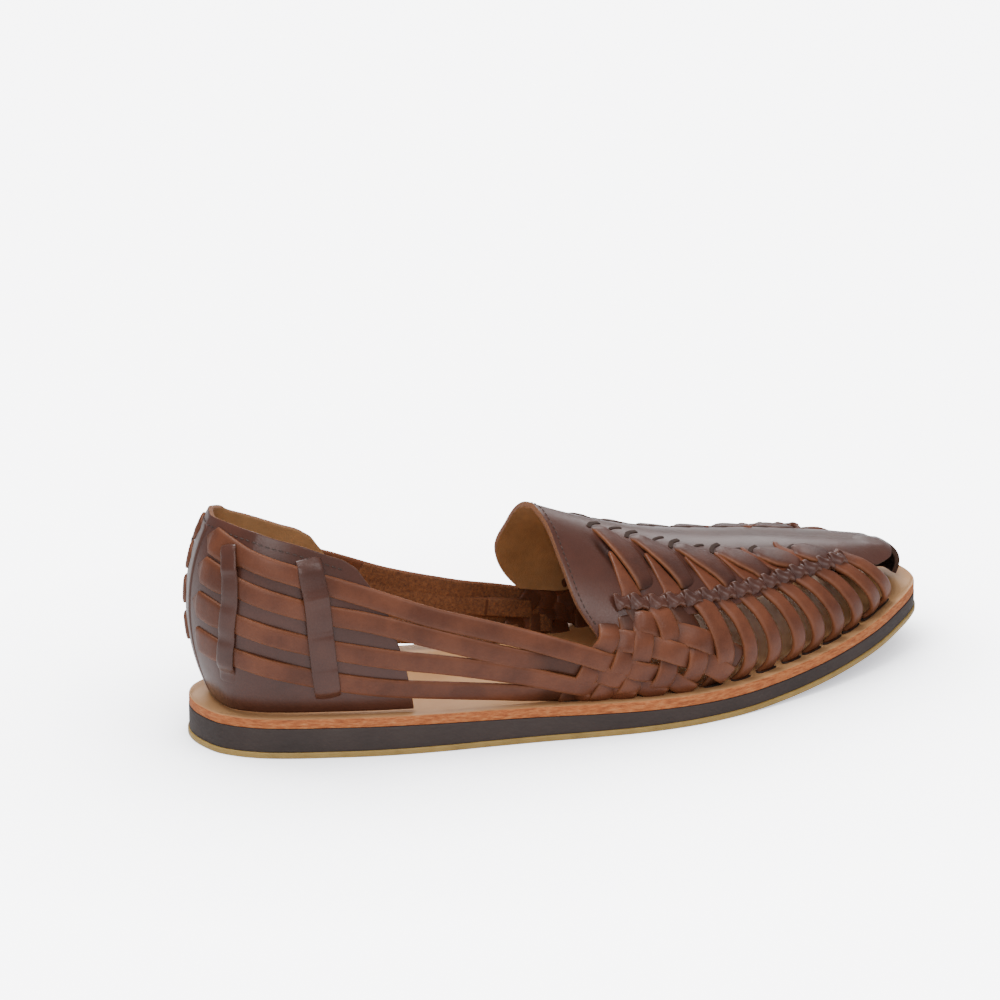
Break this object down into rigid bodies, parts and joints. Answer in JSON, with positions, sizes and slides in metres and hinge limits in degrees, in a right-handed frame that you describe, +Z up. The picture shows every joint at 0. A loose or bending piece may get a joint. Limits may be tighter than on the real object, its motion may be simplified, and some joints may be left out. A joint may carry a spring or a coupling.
{
  "type": "huarache sandal",
  "caption": "Woven leather huarache sandal with open sides and toe, a leather footbed and a flat layered sole, standing empty.",
  "frame": {"origin": "on the floor under the middle of the heel seat, where the sole rests", "axes": "+X from heel to toe, +Y to the big toe side, +Z up"},
  "size_m": [0.2942, 0.1018, 0.0878],
  "materials": {
    "rubber_outsole": "satin amber",
    "dark_midsole": "matt",
    "natural_leather": "matt, natural tan",
    "brown_leather": "waxed, dark brown"
  },
  "bodies": {
    "root": {"outsole": "rubber_outsole", "midsole": "dark_midsole", "footbed": "natural_leather", "upper": "brown_leather"}
  },
  "joints": []
}
